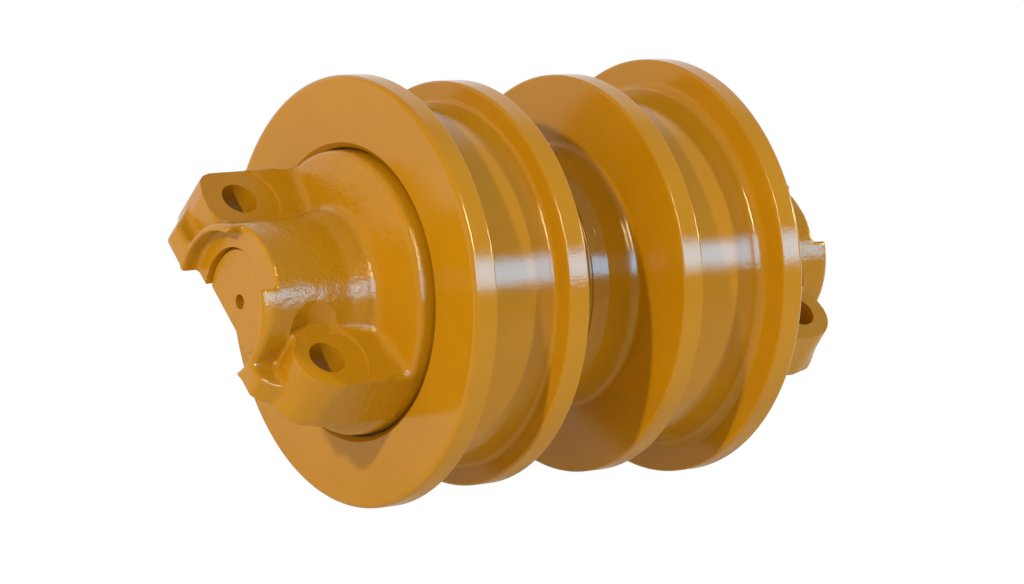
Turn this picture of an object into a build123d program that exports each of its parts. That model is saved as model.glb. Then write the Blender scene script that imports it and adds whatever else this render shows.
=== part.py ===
"""Double flange track roller for a crawler machine, about 460 mm long.

Row frame: origin at the roller's centre on the shaft axis, +Y along the shaft,
+Z towards the heads of the frame bolts, so the mounting pads look down -Z.
"Left" is the -Y end and "right" is the +Y end.  All sizes are in millimetres.
"Depth" below means distance from the roller's middle plane along the shaft.
"""
from math import cos, radians, sin
import os

from build123d import *

os.makedirs("parts", exist_ok=True)

# Shell: two forged halves, each with an outer flange, a tread and an inner flange
tread_radius = 117.0
tread_width = 61.3
outer_flange_height = 23.0
outer_flange_thickness = 17.2
inner_flange_height = 15.9
inner_flange_thickness = 16.4
waist_half_width = 38.3
waist_drop = 33.0
outer_rim_round = 4.0
flange_edge_round = 2.0
tread_fillet = 5.0
waist_fillet = 9.0

# Weld where the two halves meet, with the double curl that the welding leaves
weld_drop = 8.0
weld_half_width = 8.0
weld_curl_height = 6.5
waist_slope_length = 10.0

# Shaft
journal_radius = 40.0
shaft_end_step = 5.0
shaft_end_recess = 16.0
thrust_flange_height = 7.0
thrust_flange_half_width = 9.0
shaft_chamfer = 2.0
centre_hole_radius = 4.8
centre_hole_depth = 9.0
oil_bore_radius = 6.0
plug_recess = 5.0
plug_length = 14.0

# Flanged bushes
bush_flange_height = 10.5
bush_flange_thickness = 6.0
bush_groove_depth = 1.2
bush_groove_width = 6.0
reservoir_extra_radius = 12.0
reservoir_extra_width = 5.0

# Face seal: two lapped rings, each on a rubber ring, that meet at the seal plane
seal_ring_wall = 8.3
seal_lip_width = 15.0
seal_plane_inset = 12.3
hub_overlap = 3.0
seal_lip_thickness = 4.6
seal_ring_length = 13.0
toric_section = 4.0
toric_lip_gap = 0.4
housing_floor_from_face = 15.0
housing_mouth_from_face = 4.0

# End collar
cap_wall = 11.5
cap_proud = 7.8
cap_edge_round = 5.0
recess_gap = 4.8
cone_rise = 18.0
neck_wall = 16.0
neck_blend = 25.0
neck_length = 91.0
window_recess = 12.5
window_half_angle = 31.0
mouth_wall = 5.0
saddle_from_cap = 17.0

# Ears of the collar, with the bolt seats and the mounting pads
saddle_drop = 17.0
ear_thickness = 38.3
web_rise = 1.6
web_blend = 8.0
web_edge_round = 3.0
bolt_from_neck = 16.3
bolt_from_end = 39.0
bolt_hole_radius = 12.1
nose_radius = 23.2
round_nose_trim = 0.5
square_nose_radius = 9.0
foot_overhang = 2.5
foot_end_inset = 1.8
foot_corner_set_back = 14.0
foot_corner_run = 8.0
foot_corner_trim = 4.0
ear_bury = 4.0
spot_face_radius = 27.5
spot_face_flare = 18.0

# Small parts
pin_radius = 6.0
pin_from_saddle = 18.0
pin_wall_bite = 9.0
pin_end_gap = 1.0
pin_chamfer = 1.0
oring_section = 1.6
oring_from_cap = 3.0

# Fits and gaps
running_clearance = 0.05
fit_clearance = 0.05
press_clearance = 0.03
assembly_clearance = 0.5
thrust_clearance = 0.3
seal_face_gap = 0.1
seat_gap = 0.1
seal_bore_gap = 6.0
hub_gap = 4.0
labyrinth_gap = 1.5

# Radii worked out from the sizes above, from the shaft outwards
shaft_end_radius = journal_radius - shaft_end_step
thrust_flange_radius = journal_radius + thrust_flange_height
bush_outer_radius = thrust_flange_radius + assembly_clearance
bush_flange_radius = bush_outer_radius + bush_flange_height
reservoir_radius = bush_outer_radius + reservoir_extra_radius
seal_ring_inner_radius = bush_flange_radius + seal_bore_gap
seal_ramp_radius = seal_ring_inner_radius + seal_ring_wall
seal_lip_radius = seal_ring_inner_radius + seal_lip_width
toric_centre_radius = seal_ramp_radius + seat_gap + toric_section
housing_radius = toric_centre_radius + toric_section + seat_gap
hub_radius = seal_ring_inner_radius - hub_gap
neck_radius = shaft_end_radius + neck_wall
mouth_radius = neck_radius - mouth_wall
bolt_offset = neck_radius + bolt_from_neck
cap_radius = housing_radius + cap_wall
recess_radius = cap_radius + recess_gap
waist_radius = tread_radius - waist_drop
weld_root_radius = waist_radius - weld_drop
inner_flange_radius = tread_radius + inner_flange_height
outer_flange_radius = tread_radius + outer_flange_height

# Depths worked out from the sizes above, from the middle plane outwards
tread_start_depth = waist_half_width + inner_flange_thickness
tread_end_depth = tread_start_depth + tread_width
shell_face_depth = tread_end_depth + outer_flange_thickness
seal_plane_depth = shell_face_depth - seal_plane_inset
toric_centre_from_face = seal_lip_thickness + toric_lip_gap + toric_section
shell_floor_depth = seal_plane_depth - housing_floor_from_face
recess_floor_depth = seal_plane_depth - housing_mouth_from_face
cap_back_depth = recess_floor_depth + labyrinth_gap
collar_floor_depth = seal_plane_depth + housing_floor_from_face
bush_flange_face = shell_floor_depth
bush_flange_back = bush_flange_face - bush_flange_thickness
bush_inner_end = thrust_flange_half_width + thrust_clearance
reservoir_half_width = bush_inner_end + reservoir_extra_width
journal_end_depth = seal_plane_depth - hub_overlap
cap_front_depth = shell_face_depth + cap_proud
oring_depth = cap_front_depth + oring_from_cap
saddle_start_depth = cap_front_depth + saddle_from_cap
pin_depth = saddle_start_depth + pin_from_saddle
collar_end_depth = cap_front_depth + neck_length
bolt_depth = collar_end_depth - bolt_from_end
shaft_end_depth = collar_end_depth - shaft_end_recess
window_depth = collar_end_depth - window_recess

# Heights of the ears about the shaft axis
pad_height = -saddle_drop
seat_height = pad_height + ear_thickness
web_height = seat_height + web_rise
ledge_height = 0.0
round_nose_radius = nose_radius - round_nose_trim


def left(radius, depth):
    """A profile point of the left half: distance from the axis, depth along -Y."""
    return (radius, -depth)


def corners_at(profile, radius):
    """The corners of a turned profile at one radius, outermost end first."""
    tolerance = 0.1
    found = profile.vertices().filter_by_position(Axis.X, radius - tolerance, radius + tolerance)
    return found.sort_by(Axis.Y)


# Shell halves
with BuildPart() as shell_left:
    with BuildSketch(Plane.XY) as shell_profile:
        with BuildLine():
            Polyline(
                left(reservoir_radius, 0),
                left(weld_root_radius, 0),
                left(weld_root_radius, weld_half_width),
                left(waist_radius, weld_half_width + waist_slope_length),
                left(waist_radius, waist_half_width),
                left(inner_flange_radius, waist_half_width),
                left(inner_flange_radius, tread_start_depth),
                left(tread_radius, tread_start_depth),
                left(tread_radius, tread_end_depth),
                left(outer_flange_radius, tread_end_depth),
                left(outer_flange_radius, shell_face_depth),
                left(recess_radius, shell_face_depth),
                left(recess_radius, recess_floor_depth),
                left(housing_radius, recess_floor_depth),
                left(housing_radius, shell_floor_depth),
                left(bush_flange_radius + press_clearance, shell_floor_depth),
                left(bush_flange_radius + press_clearance, bush_flange_back),
                left(bush_outer_radius + press_clearance, bush_flange_back),
                left(bush_outer_radius + press_clearance, reservoir_half_width),
                left(reservoir_radius, reservoir_half_width),
                close=True,
            )
        make_face()
        fillet(corners_at(shell_profile, tread_radius), tread_fillet)
        fillet(corners_at(shell_profile, waist_radius)[0], waist_fillet)
        fillet(corners_at(shell_profile, inner_flange_radius), flange_edge_round)
        fillet(corners_at(shell_profile, outer_flange_radius)[0], outer_rim_round)
        fillet(corners_at(shell_profile, outer_flange_radius)[-1], flange_edge_round)
    revolve(axis=Axis.Y)

with BuildPart() as shell_right:
    mirror(shell_left.part, about=Plane.XZ)

# Weld bead with its two curls
with BuildPart() as weld_bead:
    with BuildSketch(Plane.XY):
        with BuildLine():
            half_curl = weld_half_width / 2
            Line((weld_root_radius, -weld_half_width), (weld_root_radius, weld_half_width))
            ThreePointArc(
                (weld_root_radius, weld_half_width),
                (weld_root_radius + weld_curl_height, half_curl),
                (weld_root_radius + weld_curl_height / 2, 0),
            )
            ThreePointArc(
                (weld_root_radius + weld_curl_height / 2, 0),
                (weld_root_radius + weld_curl_height, -half_curl),
                (weld_root_radius, -weld_half_width),
            )
        make_face()
    revolve(axis=Axis.Y)

# Shaft with its thrust flange, oil bore and end flats
with BuildPart() as shaft:
    with BuildSketch(Plane.XY):
        with BuildLine():
            Polyline(
                (0, -shaft_end_depth),
                (shaft_end_radius - shaft_chamfer, -shaft_end_depth),
                (shaft_end_radius, -shaft_end_depth + shaft_chamfer),
                (shaft_end_radius, -journal_end_depth),
                (journal_radius - shaft_chamfer, -journal_end_depth),
                (journal_radius, -journal_end_depth + shaft_chamfer),
                (journal_radius, -thrust_flange_half_width),
                (thrust_flange_radius, -thrust_flange_half_width),
                (thrust_flange_radius, thrust_flange_half_width),
                (journal_radius, thrust_flange_half_width),
                (journal_radius, journal_end_depth - shaft_chamfer),
                (journal_radius - shaft_chamfer, journal_end_depth),
                (shaft_end_radius, journal_end_depth),
                (shaft_end_radius, shaft_end_depth - shaft_chamfer),
                (shaft_end_radius - shaft_chamfer, shaft_end_depth),
                (0, shaft_end_depth),
                close=True,
            )
        make_face()
    revolve(axis=Axis.Y)
    saddle_length = shaft_end_depth - saddle_start_depth
    saddle_middle = (shaft_end_depth + saddle_start_depth) / 2
    with Locations((0, -saddle_middle, pad_height), (0, saddle_middle, pad_height)):
        Box(
            2 * shaft_end_radius,
            saddle_length,
            shaft_end_radius,
            align=(Align.CENTER, Align.CENTER, Align.MAX),
            mode=Mode.SUBTRACT,
        )
    with BuildSketch(Plane.XZ.offset(shaft_end_depth)):
        Circle(centre_hole_radius)
    extrude(amount=-centre_hole_depth, mode=Mode.SUBTRACT)
    with BuildSketch(Plane.XZ.offset(-shaft_end_depth)):
        Circle(oil_bore_radius)
    extrude(amount=shaft_end_depth + thrust_flange_half_width, mode=Mode.SUBTRACT)
    with BuildSketch(Plane.XY):
        Circle(oil_bore_radius / 2)
    extrude(amount=thrust_flange_radius, both=True, mode=Mode.SUBTRACT)
    with BuildSketch(Plane.XY.offset(pad_height)):
        with Locations((0, -pin_depth), (0, pin_depth)):
            Circle(pin_radius + fit_clearance)
    extrude(amount=shaft_end_radius - pad_height, mode=Mode.SUBTRACT)

with BuildPart() as oil_plug:
    with BuildSketch(Plane.XZ.offset(-shaft_end_depth + plug_recess)):
        Circle(oil_bore_radius - fit_clearance)
        RegularPolygon(oil_bore_radius / 2, 6, mode=Mode.SUBTRACT)
    extrude(amount=plug_length / 2)
    with BuildSketch(Plane.XZ.offset(-shaft_end_depth + plug_recess + plug_length / 2)):
        Circle(oil_bore_radius - fit_clearance)
    extrude(amount=plug_length / 2)

# Flanged bush, pressed into the shell from its end
with BuildPart() as bush_left:
    with BuildSketch(Plane.XY):
        with BuildLine():
            Polyline(
                left(journal_radius + running_clearance, bush_inner_end),
                left(bush_outer_radius, bush_inner_end),
                left(bush_outer_radius, bush_flange_back),
                left(bush_flange_radius, bush_flange_back),
                left(bush_flange_radius, bush_flange_face),
                left(journal_radius + running_clearance, bush_flange_face),
                close=True,
            )
        make_face()
        with Locations(left(journal_radius, (bush_inner_end + bush_flange_face) / 2)):
            Rectangle(2 * bush_groove_depth, bush_groove_width, mode=Mode.SUBTRACT)
    revolve(axis=Axis.Y)
with BuildPart() as bush_right:
    mirror(bush_left.part, about=Plane.XZ)


def seal_ring(outward):
    """One lapped ring of the left face seal; outward is 1 on the collar's side, -1 on the shell's."""
    face = seal_plane_depth + outward * seal_face_gap / 2
    lip = face + outward * seal_lip_thickness
    end = face + outward * seal_ring_length
    with BuildPart() as ring:
        with BuildSketch(Plane.XY):
            with BuildLine():
                Polyline(
                    left(seal_ring_inner_radius, face),
                    left(seal_lip_radius, face),
                    left(seal_lip_radius, lip),
                    left(seal_ramp_radius, lip),
                    left(seal_ramp_radius, end),
                    left(seal_ring_inner_radius, end),
                    close=True,
                )
            make_face()
        revolve(axis=Axis.Y)
    return ring.part


def toric(outward):
    """The rubber ring that loads one seal ring of the left end."""
    centre = seal_plane_depth + outward * (seal_face_gap / 2 + toric_centre_from_face)
    with BuildPart() as rubber:
        with BuildSketch(Plane.XY):
            with Locations(left(toric_centre_radius, centre)):
                Circle(toric_section)
        revolve(axis=Axis.Y)
    return rubber.part


def boss_outline(side, corner_radius):
    """Plan of one ear's boss above the ledge, from its nose back into the cap."""
    nose_end = bolt_depth + nose_radius
    outer = side * (bolt_offset + nose_radius)
    inner = side * (bolt_offset - nose_radius)
    with BuildSketch(Plane.XY.offset(pad_height)) as plan:
        with BuildLine():
            Polyline(
                (inner, -cap_front_depth + ear_bury),
                (inner, -nose_end),
                (outer, -nose_end),
                (outer, -cap_front_depth + ear_bury),
                close=True,
            )
        make_face()
        front_corners = plan.vertices().sort_by(Axis.Y)[:2].sort_by(lambda corner: abs(corner.X))
        fillet(front_corners[0], round_nose_radius)
        fillet(front_corners[1], corner_radius)
    return plan.sketch


def foot_outline(side):
    """Plan of one mounting foot: wide at the bolt, cut back at its outer corner."""
    outer = side * (bolt_offset + nose_radius + foot_overhang)
    end_corner = side * (bolt_offset - foot_end_inset)
    nose_end = bolt_depth + nose_radius
    with BuildSketch(Plane.XY.offset(pad_height)) as plan:
        with BuildLine():
            Polyline(
                (side * neck_radius / 2, -cap_front_depth + ear_bury),
                (side * neck_radius / 2, -collar_end_depth),
                (end_corner, -collar_end_depth),
                (end_corner + side * foot_corner_run, -collar_end_depth + foot_corner_set_back),
                (side * (bolt_offset + nose_radius - foot_corner_trim), -nose_end),
                (outer, -nose_end + foot_corner_set_back),
                (outer, -cap_front_depth + ear_bury),
                close=True,
            )
        make_face()
    return plan.sketch


def boss_section():
    """Section across both bosses and the neck, with the casting blends between them."""
    with BuildSketch() as section:
        Circle(neck_radius)
        with Locations((0, (pad_height + web_height) / 2)):
            Rectangle(2 * (bolt_offset + nose_radius), web_height - pad_height)
        web_corners = section.vertices().group_by(Axis.Y)[-1]
        fillet(web_corners.sort_by(lambda corner: abs(corner.X))[:2], web_blend)
    return section.sketch


# Casting blends along the webs: what the section across the bosses and their plan have in common
with BuildPart() as web_blends:
    add(boss_outline(1, round_nose_radius))
    add(boss_outline(-1, square_nose_radius))
    extrude(amount=2 * neck_radius)
    with BuildSketch(Plane.XZ.offset(cap_front_depth - ear_bury)):
        add(boss_section())
    extrude(amount=neck_length + ear_bury, mode=Mode.INTERSECT)

# End collar: cap, cone and neck turned about the shaft, then ears, seats and openings
with BuildPart() as collar_left:
    with BuildSketch(Plane.XY) as collar_profile:
        with BuildLine():
            Polyline(
                left(shaft_end_radius + fit_clearance, journal_end_depth),
                left(hub_radius, journal_end_depth),
                left(hub_radius, collar_floor_depth),
                left(housing_radius, collar_floor_depth),
                left(housing_radius, cap_back_depth),
                left(cap_radius, cap_back_depth),
                left(cap_radius, cap_front_depth),
                left(neck_radius, cap_front_depth + cone_rise),
                left(neck_radius, collar_end_depth),
                left(shaft_end_radius + fit_clearance, collar_end_depth),
                close=True,
            )
        make_face()
        fillet(corners_at(collar_profile, cap_radius)[0], cap_edge_round)
        fillet(corners_at(collar_profile, neck_radius)[-1], neck_blend)
    revolve(axis=Axis.Y)

    # Feet below the ledge
    for side in (1, -1):
        add(foot_outline(side))
        extrude(amount=ledge_height - pad_height)

    # Bosses up to the web, with a casting blend along each web
    for side, corner_radius in ((1, round_nose_radius), (-1, square_nose_radius)):
        add(boss_outline(side, corner_radius))
        extrude(amount=web_height - pad_height)
    add(web_blends.part)

    # Rounded outer edges of the webs
    with BuildSketch(Plane.XZ.offset(cap_front_depth)):
        for side in (1, -1):
            corner = side * (bolt_offset + nose_radius)
            inner = corner - side * web_edge_round
            with Locations(((inner + corner) / 2, web_height - web_edge_round / 2)):
                Rectangle(web_edge_round, web_edge_round)
            with Locations((inner, web_height - web_edge_round)):
                Circle(web_edge_round, mode=Mode.SUBTRACT)
    extrude(amount=neck_length, mode=Mode.SUBTRACT)

    # Bore for the shaft, again, because the ears reach into it
    with BuildSketch(Plane.XZ.offset(journal_end_depth)):
        Circle(shaft_end_radius + fit_clearance)
    extrude(amount=collar_end_depth - journal_end_depth, mode=Mode.SUBTRACT)

    # Wider mouth at the end of the bore, and the window in the top of the end wall
    with BuildSketch(Plane.XZ.offset(window_depth)):
        Circle(mouth_radius)
    extrude(amount=collar_end_depth - window_depth, mode=Mode.SUBTRACT)
    with BuildSketch(Plane.XZ.offset(window_depth)):
        with BuildLine():
            reach = 2 * neck_radius
            spread = reach * sin(radians(window_half_angle))
            rise = reach * cos(radians(window_half_angle))
            Polyline((0, 0), (spread, rise), (-spread, rise), close=True)
        make_face()
    extrude(amount=collar_end_depth - window_depth, mode=Mode.SUBTRACT)

    # Open saddle below the pads
    with Locations((0, -(saddle_start_depth + collar_end_depth) / 2, pad_height)):
        Box(
            4 * bolt_offset,
            collar_end_depth - saddle_start_depth,
            2 * neck_radius,
            align=(Align.CENTER, Align.CENTER, Align.MAX),
            mode=Mode.SUBTRACT,
        )

    # Spot faces and bolt holes
    bolt_places = [(bolt_offset, -bolt_depth), (-bolt_offset, -bolt_depth)]
    with BuildSketch(Plane.XY.offset(seat_height)):
        with Locations(*bolt_places):
            Circle(spot_face_radius)
    extrude(amount=neck_radius, taper=-spot_face_flare, mode=Mode.SUBTRACT)
    with BuildSketch(Plane.XY.offset(pad_height)):
        with Locations(*bolt_places):
            Circle(bolt_hole_radius)
    extrude(amount=seat_height - pad_height, mode=Mode.SUBTRACT)

    # Blind hole for the lock pin, drilled from the saddle through the shaft
    with BuildSketch(Plane.XY.offset(shaft_end_radius - pin_radius)):
        with Locations((0, -pin_depth)):
            Circle(pin_radius + fit_clearance)
    extrude(amount=pin_wall_bite + pin_radius, mode=Mode.SUBTRACT)

    # Groove for the ring that seals the collar on the shaft
    with BuildSketch(Plane.XY):
        with Locations(left(shaft_end_radius + oring_section, oring_depth)):
            Rectangle(2 * oring_section + 2 * seat_gap, 2 * oring_section + 2 * seat_gap)
    revolve(axis=Axis.Y, mode=Mode.SUBTRACT)

with BuildPart() as collar_right:
    add(collar_left.part, rotation=(0, 0, 180))

with BuildPart() as collar_pin_left:
    with BuildSketch(Plane.XY.offset(pad_height + pin_end_gap)):
        with Locations((0, -pin_depth)):
            Circle(pin_radius)
    extrude(amount=shaft_end_radius + pin_wall_bite - pad_height - 2 * pin_end_gap)
    chamfer(collar_pin_left.edges().filter_by(GeomType.CIRCLE), pin_chamfer)

with BuildPart() as collar_pin_right:
    mirror(collar_pin_left.part, about=Plane.XZ)

with BuildPart() as collar_oring_left:
    with BuildSketch(Plane.XY):
        with Locations(left(shaft_end_radius + oring_section + seat_gap, oring_depth)):
            Circle(oring_section)
    revolve(axis=Axis.Y)

with BuildPart() as collar_oring_right:
    mirror(collar_oring_left.part, about=Plane.XZ)

with BuildPart() as rotating_seal_ring_left:
    add(seal_ring(-1))
with BuildPart() as rotating_seal_ring_right:
    mirror(rotating_seal_ring_left.part, about=Plane.XZ)
with BuildPart() as fixed_seal_ring_left:
    add(seal_ring(1))
with BuildPart() as fixed_seal_ring_right:
    mirror(fixed_seal_ring_left.part, about=Plane.XZ)
with BuildPart() as rotating_toric_left:
    add(toric(-1))
with BuildPart() as rotating_toric_right:
    mirror(rotating_toric_left.part, about=Plane.XZ)
with BuildPart() as fixed_toric_left:
    add(toric(1))
with BuildPart() as fixed_toric_right:
    mirror(fixed_toric_left.part, about=Plane.XZ)

for name, piece in (
    ("shell_left", shell_left),
    ("shell_right", shell_right),
    ("weld_bead", weld_bead),
    ("shaft", shaft),
    ("oil_plug", oil_plug),
    ("bush_left", bush_left),
    ("bush_right", bush_right),
    ("collar_left", collar_left),
    ("collar_right", collar_right),
    ("collar_pin_left", collar_pin_left),
    ("collar_pin_right", collar_pin_right),
    ("collar_oring_left", collar_oring_left),
    ("collar_oring_right", collar_oring_right),
    ("rotating_seal_ring_left", rotating_seal_ring_left),
    ("rotating_seal_ring_right", rotating_seal_ring_right),
    ("fixed_seal_ring_left", fixed_seal_ring_left),
    ("fixed_seal_ring_right", fixed_seal_ring_right),
    ("rotating_toric_left", rotating_toric_left),
    ("rotating_toric_right", rotating_toric_right),
    ("fixed_toric_left", fixed_toric_left),
    ("fixed_toric_right", fixed_toric_right),
):
    piece.part.label = name
    export_step(piece.part, f"parts/{name}.step")
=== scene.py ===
"""Double flange track roller of a crawler machine: the finish of every surface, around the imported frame.

Blender works in metres, in the frame of the construction: the origin is at the roller's centre on
the shaft axis, +Y runs along the shaft and +Z points to the heads of the frame bolts.  Sizes in
the classes below are in millimetres, as on a drawing, and MM turns them to metres.
"Depth" means distance from the roller's middle plane along the shaft.
"""
import logging
from dataclasses import dataclass
from enum import Enum
from math import atan2, cos, pi, radians, sin, tan
from typing import Sequence

import bpy
from bpy.types import Material, Node, NodeSocket, NodeTree, Object
from mathutils import Matrix, Vector


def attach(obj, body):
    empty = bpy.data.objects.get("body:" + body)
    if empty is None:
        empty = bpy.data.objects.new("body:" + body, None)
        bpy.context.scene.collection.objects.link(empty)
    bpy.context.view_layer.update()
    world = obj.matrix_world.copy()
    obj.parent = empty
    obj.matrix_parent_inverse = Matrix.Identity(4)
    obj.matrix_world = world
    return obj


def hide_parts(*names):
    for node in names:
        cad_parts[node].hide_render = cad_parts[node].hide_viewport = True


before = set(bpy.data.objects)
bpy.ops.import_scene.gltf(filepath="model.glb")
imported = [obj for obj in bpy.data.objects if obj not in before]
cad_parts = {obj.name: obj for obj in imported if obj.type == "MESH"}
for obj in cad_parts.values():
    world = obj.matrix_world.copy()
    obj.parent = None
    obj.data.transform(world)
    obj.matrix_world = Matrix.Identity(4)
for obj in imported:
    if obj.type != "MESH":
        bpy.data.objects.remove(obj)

Pair = tuple[float, float]
Triple = tuple[float, float, float]

MM = 0.001
POST_SEGMENTS = 96
MERGE_M = 1e-7
log = logging.getLogger("track_roller")


class Side(Enum):
    """The two ends of the roller along the shaft, by the sign of Y."""

    LEFT = -1
    RIGHT = 1


def to_linear(sheet_hex: str) -> tuple[float, float, float, float]:
    """Turns an sRGB hex colour into Blender's linear colour.

    Args:
        sheet_hex: Six hex digits, with or without a leading hash sign.

    Returns:
        Linear red, green, blue and an alpha of one.
    """
    digits = sheet_hex.lstrip("#")
    channels = [int(digits[i : i + 2], 16) / 255 for i in (0, 2, 4)]
    linear = [c / 12.92 if c <= 0.04045 else ((c + 0.055) / 1.055) ** 2.4 for c in channels]
    return (*linear, 1.0)


# Work on meshes, as by hand


def deselect() -> None:
    """Leaves object mode with nothing selected."""
    if bpy.context.mode != "OBJECT":
        bpy.ops.object.mode_set(mode="OBJECT")
    bpy.ops.object.select_all(action="DESELECT")


def pick(piece: Object, *others: Object) -> None:
    """Selects one piece and makes it active, with others selected beside it.

    Args:
        piece: The piece that operators act on.
        others: More pieces to select.
    """
    deselect()
    for other in others:
        other.select_set(True)
    piece.select_set(True)
    bpy.context.view_layer.objects.active = piece


def freeze(piece: Object) -> None:
    """Writes a piece's place, turn and scale into its mesh.

    Args:
        piece: The piece, which then sits at the origin.
    """
    pick(piece)
    bpy.ops.object.transform_apply(location=True, rotation=True, scale=True)


def modify(piece: Object, kind: str, **settings: object) -> None:
    """Adds a modifier and applies it at once.

    Args:
        piece: The mesh piece.
        kind: The modifier's type, such as BEVEL.
        settings: The modifier's own settings.
    """
    pick(piece)
    modifier = piece.modifiers.new(kind.title(), kind)
    for name, value in settings.items():
        setattr(modifier, name, value)
    bpy.ops.object.modifier_apply(modifier=modifier.name)


def cut(piece: Object, *cutters: Object) -> None:
    """Takes each cutter's space out of a piece and throws the cutter away.

    Args:
        piece: The piece that is machined.
        cutters: Closed meshes.
    """
    for cutter in cutters:
        modify(piece, "BOOLEAN", operation="DIFFERENCE", object=cutter, solver="EXACT")
        bpy.data.objects.remove(cutter)


def join(pieces: Sequence[Object], name: str) -> Object:
    """Makes one object of several.

    Args:
        pieces: The meshes, of which the first is kept.
        name: The new object's name.

    Returns:
        The joined object.
    """
    pick(pieces[0], *pieces[1:])
    bpy.ops.object.join()
    joined = bpy.context.view_layer.objects.active
    joined.name = name
    joined.data.name = name
    return joined


def block(low: Sequence[float], high: Sequence[float]) -> Object:
    """A box between two corners, in millimetres, as a start for shaping.

    Args:
        low: The lowest corner.
        high: The highest corner.

    Returns:
        The box.
    """
    middle = [(a + b) / 2 * MM for a, b in zip(low, high)]
    size = [(b - a) * MM for a, b in zip(low, high)]
    deselect()
    bpy.ops.mesh.primitive_cube_add(size=1.0, location=middle, scale=size)
    made = bpy.context.view_layer.objects.active
    freeze(made)
    return made


def post(centre: Sequence[float], radius: float, height: float, top_radius: float | None = None) -> Object:
    """An upright cylinder or cone on its foot's centre, in millimetres.

    Args:
        centre: The middle of the foot.
        radius: The radius at the foot.
        height: The height along +Z.
        top_radius: The radius at the top, where it differs.

    Returns:
        The post.
    """
    top = radius if top_radius is None else top_radius
    x, y, z = centre
    deselect()
    bpy.ops.mesh.primitive_cone_add(
        vertices=POST_SEGMENTS,
        radius1=radius * MM,
        radius2=top * MM,
        depth=height * MM,
        location=(x * MM, y * MM, (z + height / 2) * MM),
    )
    made = bpy.context.view_layer.objects.active
    freeze(made)
    return made


def slice_off(piece: Object, place: Sequence[float], outward: Sequence[float]) -> None:
    """Cuts a piece at a plane, drops what lies outside and closes the cut.

    Args:
        piece: A closed mesh.
        place: A point on the plane, in millimetres.
        outward: The plane's normal, towards the side that goes.
    """
    pick(piece)
    bpy.ops.object.mode_set(mode="EDIT")
    bpy.ops.mesh.select_all(action="SELECT")
    bpy.ops.mesh.bisect(
        plane_co=[v * MM for v in place],
        plane_no=outward,
        use_fill=True,
        clear_outer=True,
        threshold=10 * MERGE_M,
    )
    bpy.ops.object.mode_set(mode="OBJECT")


@dataclass(frozen=True)
class Corner:
    """One corner of a turned profile.

    Attributes:
        radius: Distance from the shaft axis, in millimetres.
        depth: Distance from the middle plane, in millimetres.
        rounding: Radius of the round in the corner, in millimetres.
    """

    radius: float
    depth: float
    rounding: float = 0.0


def rounded(profile: Sequence[Corner], steps: int) -> list[Pair]:
    """Lays an arc into each corner of a profile that has a rounding.

    Args:
        profile: The corners, in order.
        steps: How many chords an arc has.

    Returns:
        Radius and depth of each point, in millimetres.
    """
    points: list[Pair] = []
    for index, corner in enumerate(profile):
        here = Vector((corner.radius, corner.depth))
        if corner.rounding <= 0 or index in (0, len(profile) - 1):
            points.append(tuple(here))
            continue
        before = Vector((profile[index - 1].radius, profile[index - 1].depth)) - here
        after = Vector((profile[index + 1].radius, profile[index + 1].depth)) - here
        before.normalize()
        after.normalize()
        half = before.angle(after) / 2
        centre = here + (before + after).normalized() * (corner.rounding / sin(half))
        start = here + before * (corner.rounding / tan(half)) - centre
        end = here + after * (corner.rounding / tan(half)) - centre
        first = atan2(start.y, start.x)
        turn = (atan2(end.y, end.x) - first + pi) % (2 * pi) - pi
        for step in range(steps + 1):
            angle = first + turn * step / steps
            points.append((centre.x + corner.rounding * cos(angle), centre.y + corner.rounding * sin(angle)))
    return points


def turned(
    name: str, points: Sequence[Pair], side: Side, segments: int, bored: bool = False
) -> Object:
    """Turns a closed solid about the shaft: a ring is extruded and resized from point to point.

    Args:
        name: The object's name.
        points: Radius and depth of each ring, in millimetres.
        side: The end of the roller that it belongs to.
        segments: Edges around the axis.
        bored: Whether the last ring joins the first, instead of a disc at each end.

    Returns:
        The turned solid.
    """
    rings = [*points, points[0]] if bored else list(points)
    radius, depth = rings[0]
    deselect()
    bpy.ops.mesh.primitive_circle_add(
        vertices=segments,
        radius=radius * MM,
        fill_type="NOTHING" if bored else "TRIFAN",
        location=(0, side.value * depth * MM, 0),
        rotation=(pi / 2, 0, 0),
    )
    piece = bpy.context.view_layer.objects.active
    piece.name = name
    piece.data.name = name
    freeze(piece)
    bpy.ops.object.mode_set(mode="EDIT")
    bpy.ops.mesh.select_all(action="SELECT")
    for next_radius, next_depth in rings[1:]:
        step = side.value * (next_depth - depth) * MM
        bpy.ops.mesh.extrude_region_move(TRANSFORM_OT_translate={"value": (0, step, 0)})
        scale = next_radius / radius
        place = (0, side.value * next_depth * MM, 0)
        bpy.ops.transform.resize(value=(scale, 1, scale), center_override=place)
        radius, depth = next_radius, next_depth
    bpy.ops.mesh.select_all(action="SELECT")
    bpy.ops.mesh.remove_doubles(threshold=MERGE_M)
    bpy.ops.mesh.normals_make_consistent(inside=False)
    bpy.ops.object.mode_set(mode="OBJECT")
    return piece


# Materials


def add_node(
    tree: NodeTree, kind: str, links: dict[str | int, object] | None = None, **settings: object
) -> Node:
    """Adds one node with its settings and incoming links.

    Args:
        tree: The material's or world's node tree.
        kind: The node's type name.
        links: Input name or number to an output socket, or to a plain value.
        settings: The node's own settings.

    Returns:
        The node.
    """
    node = tree.nodes.new(kind)
    for name, value in settings.items():
        setattr(node, name, value)
    for name, source in (links or {}).items():
        if isinstance(source, NodeSocket):
            tree.links.new(source, node.inputs[name])
        else:
            node.inputs[name].default_value = source
    return node


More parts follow.
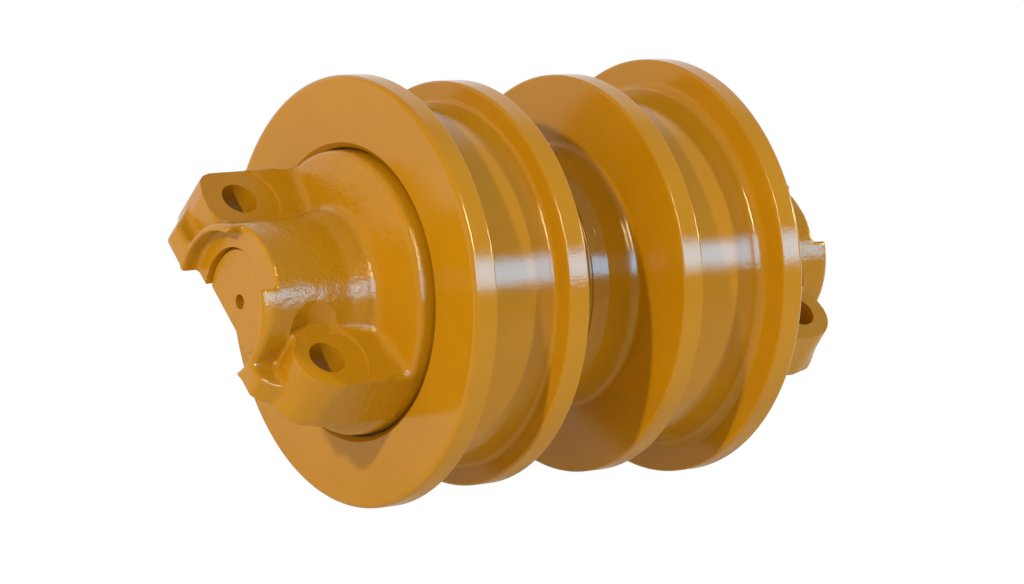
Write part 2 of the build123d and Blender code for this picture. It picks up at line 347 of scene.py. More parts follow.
def new_material(name: str) -> tuple[Material, NodeTree, NodeSocket]:
    """Starts a material with an empty node tree.

    Args:
        name: The material's name.

    Returns:
        The material, its tree and the place on the piece.
    """
    material = bpy.data.materials.new(name)
    material.use_nodes = True
    tree = material.node_tree
    tree.nodes.clear()
    return material, tree, add_node(tree, "ShaderNodeTexCoord").outputs["Object"]


def add_shader(tree: NodeTree, inputs: dict[str, object]) -> None:
    """Ends a material with a principled shader.

    Args:
        tree: The material's node tree.
        inputs: The shader's inputs.
    """
    shader = add_node(tree, "ShaderNodeBsdfPrincipled", inputs)
    add_node(tree, "ShaderNodeOutputMaterial", {"Surface": shader.outputs["BSDF"]})


def add_bump(
    tree: NodeTree,
    pattern: Node,
    height_mm: float,
    strength: float = 1.0,
    **links: object,
) -> NodeSocket:
    """Raises a surface by a pattern.

    Args:
        tree: The material's node tree.
        pattern: The node whose factor is the height.
        height_mm: The height of the pattern.
        strength: How much of it shows.
        links: More inputs, such as the Normal of another bump.

    Returns:
        The raised normal.
    """
    inputs = {"Height": pattern.outputs["Fac"], "Strength": strength, "Distance": height_mm * MM, **links}
    return add_node(tree, "ShaderNodeBump", inputs).outputs["Normal"]


@dataclass(frozen=True)
class Enamel:
    """Two-pack machinery enamel, sprayed wet over a primer: deep colour, high gloss, orange peel.

    Attributes:
        name: The material's name.
        gloss_roughness: Roughness of the film between the ripples.
        peel_mm: Distance from crest to crest of the orange peel.
        peel_height_mm: Height of those ripples.
        ripple_mm: Distance between the longer waves of the surface under the film.
        ripple_height_mm: Height of those waves.
        colour: Its colour where the film is even.
        thin_colour: Its colour where the film is thinner.
        cloud_mm: Size of the patches where the film is thinner.
        cloud_range: Where the patches' noise begins and ends to count.
        film_ior: Index of refraction of the film.
    """

    name: str
    gloss_roughness: float
    peel_mm: float
    peel_height_mm: float
    ripple_mm: float
    ripple_height_mm: float
    colour: str = "#bd8a10"
    thin_colour: str = "#b8850e"
    cloud_mm: float = 60.0
    cloud_range: Pair = (0.35, 0.65)
    film_ior: float = 1.5

    def make(self) -> Material:
        """Builds the material.

        Returns:
            The material.
        """
        material, tree, place = new_material(self.name)

        def noise(size_mm: float, detail: float, roughness: float) -> Node:
            """A noise of one size, in millimetres."""
            inputs = {"Vector": place, "Scale": 1 / (size_mm * MM), "Detail": detail, "Roughness": roughness}
            return add_node(tree, "ShaderNodeTexNoise", inputs)

        cloud = noise(self.cloud_mm, detail=4.0, roughness=0.55)
        ramp = add_node(tree, "ShaderNodeValToRGB", {"Fac": cloud.outputs["Fac"]})
        colours = (self.thin_colour, self.colour)
        for stop, position, colour in zip(ramp.color_ramp.elements, self.cloud_range, colours):
            stop.position = position
            stop.color = to_linear(colour)
        ripple = noise(self.ripple_mm, detail=1.0, roughness=0.5)
        peel = noise(self.peel_mm, detail=2.0, roughness=0.6)
        waves = add_bump(tree, ripple, self.ripple_height_mm)
        skin = add_bump(tree, peel, self.peel_height_mm, Normal=waves)
        inputs = {
            "Base Color": ramp.outputs["Color"],
            "Roughness": self.gloss_roughness,
            "IOR": self.film_ior,
            "Normal": skin,
        }
        add_shader(tree, inputs)
        return material


@dataclass(frozen=True)
class Metal:
    """A bare metal, turned or lapped.

    Attributes:
        name: The material's name.
        colour: Its colour.
        roughness: Its roughness.
        groove_mm: Distance between the tool's marks.
        groove_height_mm: Height of those marks.
        wave_share: The wave texture's scale for marks one metre apart.
    """

    name: str
    colour: str
    roughness: float
    groove_mm: float
    groove_height_mm: float
    wave_share: float = 0.05

    def make(self) -> Material:
        """Builds the material.

        Returns:
            The material.
        """
        material, tree, place = new_material(self.name)
        scale = self.wave_share / (self.groove_mm * MM)
        marks = add_node(
            tree,
            "ShaderNodeTexWave",
            {"Vector": place, "Scale": scale, "Distortion": 1.5, "Detail": 2.0},
            wave_type="RINGS",
            rings_direction="Y",
        )
        inputs = {
            "Base Color": to_linear(self.colour),
            "Metallic": 1.0,
            "Roughness": self.roughness,
            "Normal": add_bump(tree, marks, self.groove_height_mm),
        }
        add_shader(tree, inputs)
        return material


@dataclass(frozen=True)
class Rubber:
    """Moulded nitrile rubber: near black, soft sheen, fine mould grain.

    Attributes:
        name: The material's name.
        colour: Its colour.
        roughness: Its roughness.
        grain_mm: Distance between the grains of the mould.
        grain_height_mm: Height of those grains.
        grain_strength: How much of them shows.
    """

    name: str = "moulded_nitrile_rubber"
    colour: str = "#1b1b1c"
    roughness: float = 0.6
    grain_mm: float = 0.8
    grain_height_mm: float = 0.1
    grain_strength: float = 0.4

    def make(self) -> Material:
        """Builds the material.

        Returns:
            The material.
        """
        material, tree, place = new_material(self.name)
        grain = add_node(tree, "ShaderNodeTexNoise", {"Vector": place, "Scale": 1 / (self.grain_mm * MM)})
        inputs = {
            "Base Color": to_linear(self.colour),
            "Roughness": self.roughness,
            "Normal": add_bump(tree, grain, self.grain_height_mm, self.grain_strength),
        }
        add_shader(tree, inputs)
        return material


def dress(piece: Object, material: Material) -> None:
    """Gives a piece one material all over.

    Args:
        piece: The piece.
        material: Its finish.
    """
    piece.data.materials.clear()
    piece.data.materials.append(material)


# The flanged shells


@dataclass(frozen=True)
class Rise:
    """The way that a cylinder sweeps up into a flange's face: a long shallow curve, then a tight one.

    Attributes:
        sweep: Distance of the sweep's corner from the face, in millimetres.
        lift: How far the sweep has risen at the face.
        sweep_round: Radius of the sweep.
        foot_round: Radius at the foot of the face.
    """

    sweep: float
    lift: float
    sweep_round: float
    foot_round: float

    def corners(self, radius: float, face: float, toward: int) -> list[Corner]:
        """The rise's corners, from the cylinder to the face.

        Args:
            radius: The cylinder's radius.
            face: The depth of the flange's face.
            toward: 1 where the face looks away from the roller's middle and -1 where it looks to it.

        Returns:
            The corner on the cylinder and the one at the face.
        """
        on_cylinder = Corner(radius, face + toward * self.sweep, self.sweep_round)
        return [on_cylinder, Corner(radius + self.lift, face, self.foot_round)]


@dataclass
class RollerShell:
    """One forged half of the roller: its two flanges, the tread between them and half of the waist.

    Its profile is that of the construction, with the corners as the reference picture shows them:
    a long sweep before each flange, a chamfered recess and two turned lands beside the weld.
    """

    tread_radius: float = 117.0
    tread_start_depth: float = 54.7
    tread_end_depth: float = 116.0
    outer_flange_radius: float = 140.0
    inner_flange_radius: float = 132.9
    face_depth: float = 133.2
    waist_end_depth: float = 38.3
    waist_radius: float = 84.0
    outer_rim_round: float = 4.0
    inner_rim_round: float = 2.0
    waist_rise: Rise = Rise(5.8, 2.5, 16.0, 4.0)
    inner_tread_rise: Rise = Rise(9.9, 1.9, 48.0, 3.5)
    outer_tread_rise: Rise = Rise(15.4, 2.2, 65.0, 7.5)
    land_starts: Pair = (2.6, 9.8)
    land_ends: Pair = (9.0, 15.0)
    land_taper: float = 0.1
    land_round: float = 0.3
    land_proud: float = 0.2
    land_groove: float = 0.8
    land_runout: float = 0.4
    weld_root_radius: float = 76.0
    weld_gap: float = 1.0
    reservoir_radius: float = 59.5
    recess_mouth_radius: float = 96.8
    recess_radius: float = 93.5
    recess_chamfer: float = 3.0
    recess_mouth_round: float = 0.6
    recess_wall_round: float = 1.0
    recess_floor_depth: float = 116.9
    housing_radius: float = 80.5
    housing_floor_depth: float = 105.9
    bush_seat_radius: float = 47.53
    reservoir_half_width: float = 14.3
    segments: int = 240
    arc_steps: int = 8
    smooth_angle: float = 30.0
    face_weight: int = 60

    def profile(self) -> list[Corner]:
        """The corners of the section, from the weld outwards and back along the bore.

        Returns:
            The corners in order.
        """
        corners = [
            Corner(self.reservoir_radius, 0.0),
            Corner(self.weld_root_radius, 0.0),
            Corner(self.weld_root_radius, self.land_starts[0] - self.weld_gap),
        ]
        for start, end in zip(self.land_starts, self.land_ends):
            low = self.waist_radius - self.land_taper * (end - start)
            corners += [
                Corner(low, start, self.land_round),
                Corner(self.waist_radius + self.land_proud, end, self.land_round),
                Corner(self.waist_radius - self.land_groove, end + self.land_round),
            ]
        corners[-1] = Corner(self.waist_radius, self.land_ends[-1] + self.land_runout)
        return [
            *corners,
            *self.waist_rise.corners(self.waist_radius, self.waist_end_depth, -1),
            Corner(self.inner_flange_radius, self.waist_end_depth, self.inner_rim_round),
            Corner(self.inner_flange_radius, self.tread_start_depth, self.inner_rim_round),
            *reversed(self.inner_tread_rise.corners(self.tread_radius, self.tread_start_depth, 1)),
            *self.outer_tread_rise.corners(self.tread_radius, self.tread_end_depth, -1),
            Corner(self.outer_flange_radius, self.tread_end_depth, self.inner_rim_round),
            Corner(self.outer_flange_radius, self.face_depth, self.outer_rim_round),
            Corner(self.recess_mouth_radius, self.face_depth, self.recess_mouth_round),
            Corner(self.recess_radius, self.face_depth - self.recess_chamfer, self.recess_wall_round),
            Corner(self.recess_radius, self.recess_floor_depth),
            Corner(self.housing_radius, self.recess_floor_depth),
            Corner(self.housing_radius, self.housing_floor_depth),
            Corner(self.bush_seat_radius, self.housing_floor_depth),
            Corner(self.bush_seat_radius, self.reservoir_half_width),
            Corner(self.reservoir_radius, self.reservoir_half_width),
        ]

    def build(self, enamel: Material) -> None:
        """Builds and dresses both halves.

        Args:
            enamel: Their finish.
        """
        for side, node in ((Side.LEFT, "shell_left"), (Side.RIGHT, "shell_right")):
            points = rounded(self.profile(), self.arc_steps)
            shell = turned(f"{node}_forging", points, side, self.segments, bored=True)
            pick(shell)
            bpy.ops.object.shade_smooth_by_angle(angle=radians(self.smooth_angle))
            modify(shell, "WEIGHTED_NORMAL", mode="FACE_AREA", weight=self.face_weight, keep_sharp=True)
            dress(shell, enamel)
            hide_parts(node)
            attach(shell, "roller")
            log.info("%s: %d faces", shell.name, len(shell.data.polygons))


# The end collars


@dataclass(frozen=True)
class EarPlan:
    """The outline of one bolt ear, as upright or drafted flats that trim it.

    Attributes:
        side: 1 for the ear on +X and -1 for the one on -X.
        nose: Points along the front of the nose at the seat, in millimetres, from the side inwards.
        foot: Points along the front of the foot at its pad, in millimetres, from the side inwards.
        leg: Points along the leg's outer side at its pad, in millimetres, from the nose to the end.
    """

    side: int
    nose: tuple[Pair, ...]
    foot: tuple[Pair, ...]
    leg: tuple[Pair, ...]


@dataclass
class EndCollar:
    """The cast end collar: cap, cone, neck and two bolt ears with their feet.

    It is made as the casting is: the raw form is joined from simple bodies, fused and smoothed, so
    that its corners flow into each other, and then the seats, holes, pads and bore are machined.
    """

    cap_radius: float = 92.0
    cap_back_depth: float = 118.4
    cap_front_depth: float = 141.0
    cap_round: float = 3.5
    cap_back_round: float = 1.5
    core_radius: float = 20.0  # the raw body's ends, which the bore takes away
    housing_radius: float = 80.5
    housing_depth: float = 135.9
    cone_rise: float = 6.5
    hub_radius: float = 54.0
    hub_fillet: float = 5.5
    hub_front_depth: float = 153.5
    neck_start_depth: float = 165.5
    neck_radius: float = 51.0
    neck_blend: float = 22.0
    end_depth: float = 232.0
    end_round: float = 4.5
    bore_radius: float = 35.05
    mouth_radius: float = 46.0
    window_depth: float = 219.5
    window_half_angle: float = 31.0
    pad_height: float = -17.0
    ledge_height: float = 0.0
    seat_height: float = 21.3
    web_height: float = 22.9
    bolt_offset: float = 67.3
    bolt_depth: float = 193.0
    bolt_hole_radius: float = 12.1
    bolt_cutter_height: float = 60.0
    ear_half_width: float = 23.2
    ear_root: float = 4.0  # how far the ears run into the cap
    nose_reach: float = 40.0  # their blocks in front of the bolts, before the trim
    foot_inner: float = 40.0  # where the feet start beside the shaft
    leg_inner: float = 20.0  # where the legs do
    side_draft: float = 0.065
    front_draft: float = 0.2
    nose_draft: float = 0.03
    spot_face_radius: float = 27.5
    spot_face_top_radius: float = 34.0
    spot_face_top_height: float = 41.0
    saddle_start_depth: float = 158.0
    saddle_reach: float = 120.0
    foot_reach: float = 93.0
    foot_allowance: float = 2.0
    cutter_margin: float = 10.0
    body_segments: int = 160
    body_arc_steps: int = 12
    voxel_mm: float = 1.25
    skin_passes: int = 4
    web_passes: int = 50
    smoothing: float = 0.5
    smooth_angle: float = 35.0
    round_ear: EarPlan = EarPlan(
        side=1,
        nose=(),
        foot=((92.4, -198.0), (90.0, -209.0), (86.0, -215.0), (79.0, -218.7), (72.6, -220.4)),
        leg=((72.6, -220.4), (67.8, -226.3), (64.8, -230.8)),
    )
    square_ear: EarPlan = EarPlan(
        side=-1,
        nose=((91.4, -202.7), (88.5, -211.5), (84.8, -214.9), (73.5, -218.5), (53.0, -219.7)),
        foot=((92.4, -198.0), (90.0, -210.0), (86.0, -215.5), (79.0, -219.7), (60.0, -221.0)),
        leg=((89.0, -211.0), (67.5, -232.5)),
    )

    def trim(self, piece: Object, side: int, points: Sequence[Pair], height: float, draft: float) -> None:
        """Trims a body with one flat through each two neighbouring points of an outline.

        Args:
            piece: The body.
            side: 1 where the outline is on +X and -1 where it is mirrored to -X.
            points: The outline at one height, in millimetres.
            height: That height.
            draft: How much a flat leans inwards for each millimetre upwards.
        """
        for (x0, y0), (x1, y1) in zip(points, points[1:]):
            along = Vector((x1 - x0, y1 - y0)).normalized()
            slice_off(piece, (side * x0, y0, height), (-side * along.y, along.x, draft))

    def ear(self, plan: EarPlan) -> list[Object]:
        """The bodies of one ear: its boss up to the web, its foot and its leg.

        Args:
            plan: The ear's outline.

        Returns:
            Closed bodies.
        """
        side = plan.side
        back = self.ear_root - self.cap_front_depth
        front = -self.bolt_depth - self.nose_reach
        inner = self.bolt_offset - self.ear_half_width
        pad = self.pad_height

        def side_block(start: float, y0: float, y1: float, top: float) -> Object:
            """A block on the pads from one distance beside the shaft out to the drafted side."""
            low, high = sorted((side * start, side * (self.foot_reach + self.foot_allowance)))
            made = block((low, y0, pad), (high, y1, top))
            slice_off(made, (side * self.foot_reach, 0, pad), (side, 0, self.side_draft))
            return made

        foot = side_block(self.foot_inner, front, back, self.ledge_height)
        self.trim(foot, side, plan.foot, pad, self.front_draft)
        leg = side_block(self.leg_inner, -self.end_depth, -self.bolt_depth, self.ledge_height)
        self.trim(leg, side, plan.leg, pad, self.side_draft)
        bodies = [foot, leg]
        if plan.nose:
            boss = side_block(inner, front, back, self.web_height)
            self.trim(boss, side, plan.nose, self.seat_height, self.nose_draft)
            bodies.append(boss)
        else:
            bodies.append(side_block(inner, -self.bolt_depth, back, self.web_height))
            drafted = self.ear_half_width + self.side_draft * (self.web_height - pad)
            place = (side * self.bolt_offset, -self.bolt_depth, pad)
            bodies.append(post(place, drafted, self.web_height - pad, self.ear_half_width))
        return bodies

    def raw_casting(self) -> Object:
        """Joins the bodies of the casting, before fusing.

        Returns:
            One object of overlapping closed bodies.
        """
        profile = [
            Corner(self.core_radius, self.cap_back_depth),
            Corner(self.cap_radius, self.cap_back_depth, self.cap_back_round),
            Corner(self.cap_radius, self.cap_front_depth, self.cap_round),
            Corner(self.hub_radius, self.cap_front_depth + self.cone_rise, self.hub_fillet),
            Corner(self.hub_radius, self.hub_front_depth, self.neck_blend),
            Corner(self.neck_radius, self.neck_start_depth, self.neck_blend),
            Corner(self.neck_radius, self.end_depth, self.end_round),
            Corner(self.core_radius, self.end_depth),
        ]
        points = rounded(profile, self.body_arc_steps)
        bodies = [turned("collar_body", points, Side.LEFT, self.body_segments)]
        for plan in (self.round_ear, self.square_ear):
            bodies.extend(self.ear(plan))
        return join(bodies, "collar_left_cast")

    def window_cutter(self) -> Object:
        """The wedge that opens the top of the end wall.

        Returns:
            The cutter.
        """
        reach = 2 * self.neck_radius
        past_end = -self.end_depth - self.cutter_margin / 2
        wedge = block((-reach, past_end, 0), (reach, -self.window_depth, reach))
        for side in (1, -1):
            angle = radians(self.window_half_angle)
            slice_off(wedge, (0, -self.window_depth, 0), (side * cos(angle), 0, -sin(angle)))
        return wedge

    def fuse(self, piece: Object) -> None:
        """Fuses a piece into one skin of even quads and softens its corners.

        Args:
            piece: The piece.
        """
        modify(piece, "REMESH", mode="VOXEL", voxel_size=self.voxel_mm * MM, adaptivity=0.0)
        modify(piece, "SMOOTH", factor=self.smoothing, iterations=self.skin_passes)

    def blend_webs(self, piece: Object) -> None:
        """Softens the corners between the webs, the neck and the cap into casting blends.

        Args:
            piece: The fused casting.
        """
        group = piece.vertex_groups.new(name="blends")
        inner, outer = self.neck_radius - 15, self.neck_radius + 8
        neck_end = self.bolt_depth + 24
        cap_start, cap_end = self.cap_front_depth - 1, self.cap_front_depth + 14
        half_height = 7
        chosen = []
        for vertex in piece.data.vertices:
            x, y, z = (abs(vertex.co.x) / MM, -vertex.co.y / MM, vertex.co.z / MM)
            along_neck = inner < x < outer and self.cap_front_depth < y < neck_end
            along_cap = inner < x < self.cap_radius + 1 and cap_start < y < cap_end
            if (along_neck or along_cap) and abs(z - self.web_height) < half_height:
                chosen.append(vertex.index)
        group.add(chosen, 1.0, "REPLACE")
        modify(piece, "SMOOTH", factor=self.smoothing, iterations=self.web_passes, vertex_group=group.name)

    def build(self, enamel: Material) -> None:
        """Builds both collars and dresses them.

        Args:
            enamel: The finish.
        """
        casting = self.raw_casting()
        self.fuse(casting)
        self.blend_webs(casting)
        mouth = self.along_shaft(self.mouth_radius, self.window_depth, 3 * self.cutter_margin)
        cut(casting, self.window_cutter(), mouth)
        self.fuse(casting)
        self.machine(casting)
        self.finish(casting, enamel, "collar_left")
        pick(casting)
        bpy.ops.object.duplicate()
        other = bpy.context.view_layer.objects.active
        other.scale = (1, -1, 1)
        freeze(other)
        bpy.ops.object.mode_set(mode="EDIT")
        bpy.ops.mesh.select_all(action="SELECT")
        bpy.ops.mesh.normals_make_consistent(inside=False)
        bpy.ops.object.mode_set(mode="OBJECT")
        self.finish(other, enamel, "collar_right")

    def machine(self, casting: Object) -> None:
        """Machines the bolt seats, the bore, the pads, the seal's housing and the bolt holes.

        Args:
            casting: The fused casting.
        """
        margin, reach = self.cutter_margin, self.saddle_reach
        seat_rise = self.spot_face_top_height - self.seat_height
        bolts = [(side * self.bolt_offset, -self.bolt_depth) for side in (1, -1)]
        for bolt in bolts:
            place = (*bolt, self.seat_height)
            cut(casting, post(place, self.spot_face_radius, seat_rise, self.spot_face_top_radius))
        saddle_low = (-reach, -self.end_depth - margin, -reach)
        saddle_high = (reach, -self.saddle_start_depth, self.pad_height)
        start = self.cap_back_depth - margin
        bore_length = self.end_depth - self.cap_back_depth + 2 * margin
        housing_length = self.housing_depth - self.cap_back_depth + margin
        saddle = block(saddle_low, saddle_high)
        bore = self.along_shaft(self.bore_radius, start, bore_length)
        housing = self.along_shaft(self.housing_radius, start, housing_length)
        cut(casting, bore, saddle, housing)
        for bolt in bolts:
            place = (*bolt, self.pad_height - margin)
            cut(casting, post(place, self.bolt_hole_radius, self.bolt_cutter_height))

    def along_shaft(self, radius: float, depth: float, length: float) -> Object:
        """A cylinder about the shaft at the left end, from one depth outwards.

        Args:
            radius: Its radius.
            depth: Where it starts.
            length: How far it runs towards the end.

        Returns:
            The cylinder.
        """
        made = post((0, 0, 0), radius, length)
        made.rotation_euler = (pi / 2, 0, 0)
        made.location = (0, -depth * MM, 0)
        freeze(made)
        return made

    def finish(self, piece: Object, enamel: Material, node: str) -> None:
        """Names, shades and dresses a collar and lets it stand for its node.

        Args:
            piece: The collar.
            enamel: The finish.
            node: The node that it stands for.
        """
        piece.name = piece.data.name = f"{node}_casting"
        pick(piece)
        bpy.ops.object.shade_smooth_by_angle(angle=radians(self.smooth_angle))
        dress(piece, enamel)
        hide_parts(node)
        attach(piece, "fixed_side")
        log.info("%s: %d faces", piece.name, len(piece.data.polygons))


# Camera, light and floor


@dataclass(frozen=True)
class PhotoCamera:
    """The camera of the reference picture, fitted to the flange and bolt hole outlines.

    Attributes:
        azimuth: Turn about +Z, in degrees, where 0 looks along +Y.
        elevation: Height above the horizon, in degrees.
        roll: Turn about the line of sight, in degrees.
        place: The camera's place, in millimetres.
        lens: Focal length, in millimetres.
        sensor: Width of the sensor, in millimetres.
        reach: How far the camera sees, in metres.
    """

    azimuth: float = 39.99
    elevation: float = 39.08
    roll: float = 31.76
    place: Triple = (1417.0, -1682.8, 1775.7)
    lens: float = 150.1
    sensor: float = 36.0
    reach: float = 50.0

    def axes(self) -> tuple[Vector, Vector, Vector]:
        """The camera's own directions.

        Returns:
            Its right, up and back directions.
        """
        az, el, ro = (radians(a) for a in (self.azimuth, self.elevation, self.roll))
        back = Vector((sin(az) * cos(el), -cos(az) * cos(el), sin(el)))
        level = Vector((cos(az), sin(az), 0))
        upright = back.cross(level)
        right = level * cos(ro) + upright * sin(ro)
        return right, back.cross(right), back

    def build(self) -> None:
        """Makes the camera and sets it as the scene's."""
        data = bpy.data.cameras.new("photo_camera")
        data.lens = self.lens
        data.sensor_width = self.sensor
        data.sensor_fit = "HORIZONTAL"
        data.clip_end = self.reach
        camera = bpy.data.objects.new("photo_camera", data)
        bpy.context.scene.collection.objects.link(camera)
        right, up, back = self.axes()
        turn = Matrix((right, up, back)).transposed().to_4x4()
        camera.matrix_world = Matrix.Translation(Vector(self.place) * MM) @ turn
        bpy.context.scene.camera = camera


class Surround:
    """The world's node tree, in which brightness is painted over directions."""

    # A mix node's sockets for colours go by number, because its other sockets share their names
    MIX_FACTOR = 0
    MIX_COLOURS = (6, 7)
    MIX_RESULT = 2

    def __init__(self) -> None:
        """Starts an empty world."""
        world = bpy.data.worlds.new("studio_surround")
        bpy.context.scene.world = world
        world.use_nodes = True
        self.tree = world.node_tree
        self.tree.nodes.clear()
        self.direction = add_node(self.tree, "ShaderNodeTexCoord").outputs["Generated"]

    def along(self, axis: Vector) -> NodeSocket:
        """The part of the direction along an axis.

        Args:
            axis: A unit vector.

        Returns:
            A value from -1 to 1.
        """
        links = {0: self.direction, 1: tuple(axis)}
        return add_node(self.tree, "ShaderNodeVectorMath", links, operation="DOT_PRODUCT").outputs["Value"]

    def maths(self, operation: str, *values: object) -> NodeSocket:
        """One step of arithmetic.

        Args:
            operation: Its name.
            values: Sockets or numbers.

        Returns:
            The result.
        """
        links = dict(enumerate(values))
        return add_node(self.tree, "ShaderNodeMath", links, operation=operation).outputs["Value"]

    def step(self, value: NodeSocket, start: float, end: float) -> NodeSocket:
        """A soft step from 0 at one value to 1 at another.

        Args:
            value: The value that is stepped.
            start: Where it is 0.
            end: Where it is 1.

        Returns:
            The step.
        """
        links = {"Value": value, "From Min": start, "From Max": end}
        node = add_node(self.tree, "ShaderNodeMapRange", links, interpolation_type="SMOOTHSTEP")
        return node.outputs["Result"]

    def window(self, value: NodeSocket, low: float, high: float, soft: float) -> NodeSocket:
        """One between two values and zero outside them.

        Args:
            value: The value.
            low: The lower end.
            high: The upper end.
            soft: The width of each border.

        Returns:
            The mask.
        """
        rising = self.step(value, low - soft, low)
        falling = self.step(value, high + soft, high)
        return self.maths("MULTIPLY", rising, falling)

    def paint(self, base: object, mask: object, colour: Sequence[float]) -> NodeSocket:
        """Lays a colour over another where a mask is one.

        Args:
            base: The colour below.
            mask: The mask.
            colour: Linear red, green and blue, which may be over one.

        Returns:
            The mixed colour.
        """
        lower, upper = self.MIX_COLOURS
        links = {self.MIX_FACTOR: mask, lower: base, upper: (*colour, 1.0)}
        return add_node(self.tree, "ShaderNodeMix", links, data_type="RGBA").outputs[self.MIX_RESULT]

    def background(self, colour: object) -> NodeSocket:
        """A background shader of full strength.

        Args:
            colour: A painted colour, or red, green, blue and alpha.

        Returns:
            The shader.
        """
        return add_node(self.tree, "ShaderNodeBackground", {"Color": colour, "Strength": 1.0}).outputs[0]

    def finish(self, diffuse: object, glossy: object) -> None:
        """Shows white to the camera, one sky to matt surfaces and another to glossy ones.

        Args:
            diffuse: The sky that lights.
            glossy: The sky that is mirrored.
        """
        path = add_node(self.tree, "ShaderNodeLightPath").outputs
        lit = add_node(
            self.tree,
            "ShaderNodeMixShader",
            {0: path["Is Glossy Ray"], 1: self.background(diffuse), 2: self.background(glossy)},
        )
        seen = add_node(
            self.tree,
            "ShaderNodeMixShader",
            {0: path["Is Camera Ray"], 1: lit.outputs[0], 2: self.background((1, 1, 1, 1))},
        )
        add_node(self.tree, "ShaderNodeOutputWorld", {"Surface": seen.outputs[0]})


@dataclass(frozen=True)
class MirroredLamp:
    """A lamp that only glossy surfaces show, as a patch of the sky.

    Attributes:
        turn: Its borders round the shaft, in degrees from +X upwards.
        shaft: Its borders along the shaft, as the direction's part along +Y.
        soft: Width of the borders along the shaft.
        colour: Its linear colour.
        turn_soft: Width of the borders round the shaft, in degrees.
    """

    turn: Pair
    shaft: Pair
    soft: float
    colour: Triple
    turn_soft: float = 1.0


@dataclass(frozen=True)
class Shade:
    """A part of the studio with a colour of its own, into which the rest fades.

    Attributes:
        fade: Where it starts and where it is full, as the direction's part along an axis.
        colour: Its linear colour.
    """

    fade: Pair
    colour: Triple


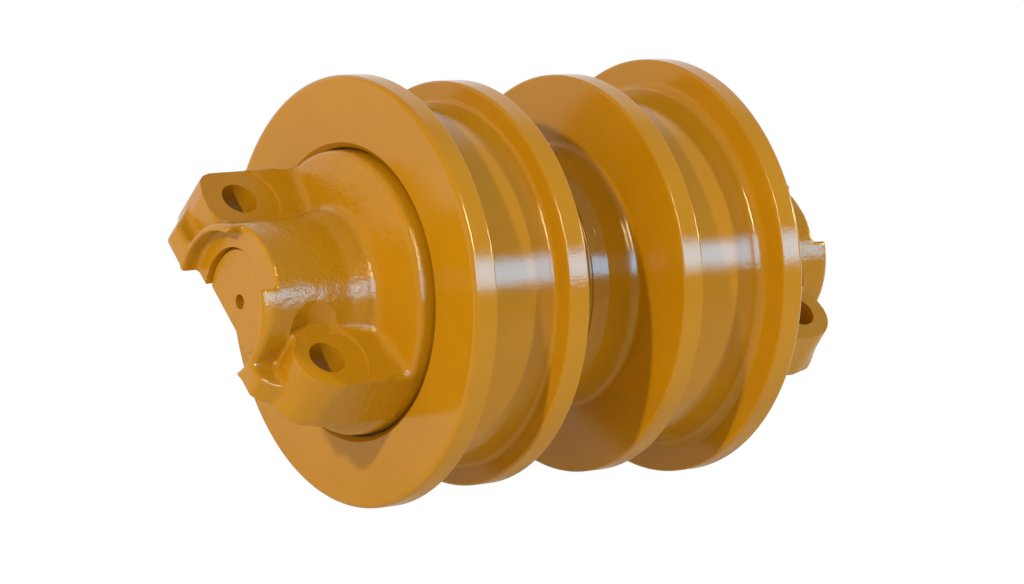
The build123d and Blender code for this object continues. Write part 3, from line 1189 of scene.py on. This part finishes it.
@dataclass
class Studio:
    """Plain pale floor and soft studio light, as the gloss of the reference picture shows it.

    Attributes:
        camera: The picture's camera, whose directions the walls follow.
        floor_drop: The floor's distance from the roller's centre, in millimetres.
        floor_colour: Colour of the floor's paper.
        floor_fade_mm: Distances from the centre between which the floor fades out.
        floor_share: The floor's width for each millimetre of the farther distance.
        lamp_distance: Distance of the lamps from the roller, in metres.
        lamp_size: Width of the lamps, in metres.
        wall: Colour of the walls that gloss mirrors.
        floorward: Their part towards the floor, by the direction to the picture's right.
        floorward_drop: Where that part starts and is full, by the direction upwards.
        far: Their part behind the roller, by the direction to the camera.
        soft_box: The long cool lamp above the roller.
        strips: The two slim warm lamps beside it.
        ambient: The light that matt surfaces get.
        below: Its part from the picture's foot, by the direction up in the picture.
        warm: Its part from the near end, by the direction along the shaft.
    """

    camera: PhotoCamera
    floor_drop: float = 200.0
    floor_colour: str = "#f4f4f2"
    floor_fade_mm: Pair = (450.0, 1100.0)
    floor_share: float = 2.5
    lamp_distance: float = 3.0
    lamp_size: float = 0.12
    wall: Triple = (0.36, 0.37, 0.36)
    floorward: Shade = Shade((-0.45, -0.8), (0.82, 0.85, 0.68))
    floorward_drop: Pair = (-0.1, -0.35)
    far: Shade = Shade((-0.3, -0.6), (1.0, 0.95, 0.95))
    soft_box: MirroredLamp = MirroredLamp((48.0, 62.5), (-0.6, 0.8), 0.04, (2.9, 7.8, 12.0))
    strips: tuple[MirroredLamp, MirroredLamp] = (
        MirroredLamp((68.0, 88.0), (-0.22, -0.16), 0.01, (90.0, 75.0, 40.0)),
        MirroredLamp((68.0, 88.0), (0.86, 0.9), 0.01, (90.0, 75.0, 40.0)),
    )
    ambient: Triple = (0.42, 0.42, 0.42)
    below: Shade = Shade((0.5, -0.9), (0.74, 0.74, 0.72))
    warm: Shade = Shade((-0.1, -1.0), (0.85, 0.62, 0.18))

    def lamp(self, name: str, toward: Sequence[float], power: float, colour: str) -> None:
        """Adds a square lamp that faces the roller.

        Args:
            name: The lamp's name.
            toward: Its direction from the roller's centre.
            power: Its power in watts.
            colour: Its colour.
        """
        direction = Vector(toward).normalized()
        data = bpy.data.lights.new(name, "AREA")
        data.size = self.lamp_size
        data.energy = power
        data.color = to_linear(colour)[:3]
        lamp = bpy.data.objects.new(name, data)
        bpy.context.scene.collection.objects.link(lamp)
        turn = direction.to_track_quat("Z", "Y").to_matrix().to_4x4()
        lamp.matrix_world = Matrix.Translation(direction * self.lamp_distance) @ turn
        lamp.visible_glossy = False
        lamp.visible_camera = False

    def build(self) -> None:
        """Makes the floor, the world and the lamps."""
        bpy.context.scene.view_settings.view_transform = "Standard"
        self.sky()
        self.floor()
        self.lamp("key_left", toward=(0.035, -1.27, 0.84), power=41.5, colour="#ffebd0")
        self.lamp("key_right", toward=(0.55, 0.9, 0.83), power=34.0, colour="#fff6ea")

    def sky(self) -> None:
        """The studio round the roller: pale walls, a long cool soft box and two slim warm lamps."""
        right, up, back = self.camera.axes()
        sky = Surround()
        over = sky.along(Vector((0, 0, 1)))
        across = sky.along(Vector((1, 0, 0)))
        shaft = sky.along(Vector((0, 1, 0)))
        turn = sky.maths("MULTIPLY", sky.maths("ARCTAN2", over, across), 180 / pi)
        # What glossy surfaces mirror
        to_side = sky.step(sky.along(right), *self.floorward.fade)
        floorward = sky.maths("MULTIPLY", to_side, sky.step(over, *self.floorward_drop))
        glossy = sky.paint((*self.wall, 1.0), floorward, self.floorward.colour)
        glossy = sky.paint(glossy, sky.step(sky.along(back), *self.far.fade), self.far.colour)
        for lamp in (self.soft_box, *self.strips):
            round_shaft = sky.window(turn, *lamp.turn, lamp.turn_soft)
            patch = sky.maths("MULTIPLY", round_shaft, sky.window(shaft, *lamp.shaft, lamp.soft))
            glossy = sky.paint(glossy, patch, lamp.colour)
        # What lights matt surfaces
        below = sky.step(sky.along(up), *self.below.fade)
        ambient = sky.paint((*self.ambient, 1.0), below, self.below.colour)
        ambient = sky.paint(ambient, sky.step(shaft, *self.warm.fade), self.warm.colour)
        sky.finish(ambient, glossy)

    def floor(self) -> None:
        """The pale floor under the roller, level in the picture.

        The camera sees it white, as in the reference picture, and looks through it from below.  Other
        rays see matt white paper that keeps the roller's shadow and fades out into the studio's walls.
        """
        right, _, _ = self.camera.axes()
        upward = right.cross(Vector((0, 1, 0))).normalized()
        deselect()
        bpy.ops.mesh.primitive_plane_add(
            size=self.floor_share * self.floor_fade_mm[1] * MM,
            location=-upward * self.floor_drop * MM,
            rotation=upward.to_track_quat("Z", "Y").to_euler(),
        )
        floor = bpy.context.view_layer.objects.active
        floor.name = "studio_floor"
        freeze(floor)
        material, tree, place = new_material("matt_white_paper")
        path = add_node(tree, "ShaderNodeLightPath").outputs
        reach = add_node(tree, "ShaderNodeVectorMath", {0: place}, operation="LENGTH").outputs["Value"]
        near, far = self.floor_fade_mm
        ranges = {"Value": reach, "From Min": near * MM, "From Max": far * MM}
        fade = add_node(tree, "ShaderNodeMapRange", ranges, interpolation_type="SMOOTHSTEP").outputs["Result"]
        paper = add_node(tree, "ShaderNodeBsdfDiffuse", {"Color": to_linear(self.floor_colour)})
        clear = add_node(tree, "ShaderNodeBsdfTransparent")
        edge = add_node(tree, "ShaderNodeMixShader", {0: fade, 1: paper.outputs[0], 2: clear.outputs[0]})
        white = add_node(tree, "ShaderNodeEmission", {"Color": (1, 1, 1, 1), "Strength": 1.0})
        below = add_node(tree, "ShaderNodeNewGeometry").outputs["Backfacing"]
        face = add_node(tree, "ShaderNodeMixShader", {0: below, 1: white.outputs[0], 2: clear.outputs[0]})
        seen = add_node(
            tree, "ShaderNodeMixShader", {0: path["Is Camera Ray"], 1: edge.outputs[0], 2: face.outputs[0]}
        )
        add_node(tree, "ShaderNodeOutputMaterial", {"Surface": seen.outputs[0]})
        dress(floor, material)


def main() -> None:
    """Builds the scene and reports each part of it."""
    logging.basicConfig(level=logging.INFO, format="%(name)s: %(message)s")
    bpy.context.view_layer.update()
    shell_enamel = Enamel(
        name="sprayed_shell_enamel",
        gloss_roughness=0.09,
        peel_mm=1.4,
        peel_height_mm=0.09,
        ripple_mm=14.0,
        ripple_height_mm=0.06,
    ).make()
    collar_enamel = Enamel(
        name="sprayed_casting_enamel",
        gloss_roughness=0.12,
        peel_mm=1.7,
        peel_height_mm=0.24,
        ripple_mm=7.0,
        ripple_height_mm=0.36,
    ).make()
    finishes = {
        "shell_enamel": shell_enamel,
        "collar_enamel": collar_enamel,
        "shaft_steel": collar_enamel,
        "plug_steel": Metal("turned_plug_steel", "#8b8a86", 0.35, 0.8, 0.01).make(),
        "bush_bronze": Metal("turned_bush_bronze", "#b08d57", 0.3, 0.8, 0.01).make(),
        "seal_iron": Metal("lapped_seal_iron", "#6f6e6c", 0.2, 0.6, 0.005).make(),
        "seal_rubber": Rubber().make(),
    }
    for node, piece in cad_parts.items():
        slots = [slot.material.name if slot.material else "" for slot in piece.material_slots]
        for index, slot in enumerate(slots):
            piece.material_slots[index].material = finishes[slot.split(".")[0]]
        log.info("%s: %s", node, slots)
    RollerShell().build(shell_enamel)
    EndCollar().build(collar_enamel)
    camera = PhotoCamera()
    camera.build()
    Studio(camera).build()


if __name__ == "__main__":
    main()
